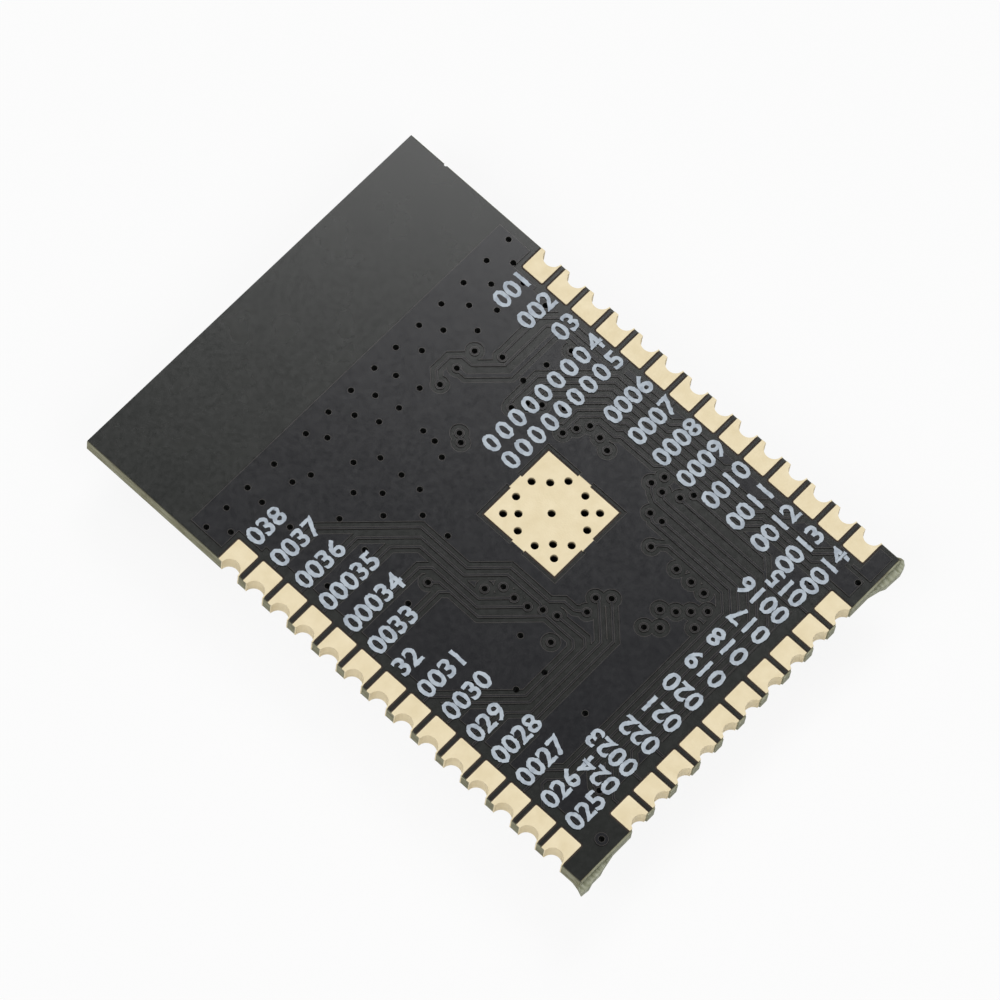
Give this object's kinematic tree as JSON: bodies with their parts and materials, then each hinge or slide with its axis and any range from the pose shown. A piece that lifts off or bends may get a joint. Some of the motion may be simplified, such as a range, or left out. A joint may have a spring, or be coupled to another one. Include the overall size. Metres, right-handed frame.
{
  "type": "wifi module",
  "caption": "Surface-mount wifi module: a thin black board with plated half-hole terminals along three edges and a large ground pad, lying solder side up on its flat metal shield can.",
  "frame": {"origin": "middle of the module's plan, at the level of the shield can's flat outer face, on which the module lies", "axes": "+X across the board, +Y along it from the snapped end with the short row of terminals towards the antenna end, +Z out of the solder side"},
  "size_m": [0.0184, 0.0257, 0.0031],
  "materials": {
    "laminate": "matte",
    "solder_mask": "satin",
    "plated_terminals": "satin",
    "masked_copper": "satin",
    "land_solder": "satin",
    "shield_sheet": "satin",
    "package_plastic": "matte",
    "tinned_leads": "satin",
    "crystal_ceramic": "matte",
    "crystal_metal": "satin",
    "capacitor_ceramic": "matte",
    "resistor_ceramic": "satin",
    "inductor_ceramic": "satin"
  },
  "bodies": {
    "root": {"laminate": "laminate", "underside_mask": "solder_mask", "component_mask": "solder_mask", "left_terminals": "plated_terminals", "right_terminals": "plated_terminals", "end_terminals": "plated_terminals", "ground_pad": "plated_terminals", "antenna_trace": "masked_copper", "shield_land": "land_solder", "shield_can": "shield_sheet", "controller_package": "package_plastic", "controller_pads": "tinned_leads", "flash_package": "package_plastic", "flash_leads": "tinned_leads", "crystal_base": "crystal_ceramic", "crystal_lid": "crystal_metal", "capacitor_bodies": "capacitor_ceramic", "capacitor_ends": "tinned_leads", "resistor_bodies": "resistor_ceramic", "resistor_ends": "tinned_leads", "inductor_bodies": "inductor_ceramic", "inductor_ends": "tinned_leads"}
  },
  "joints": []
}
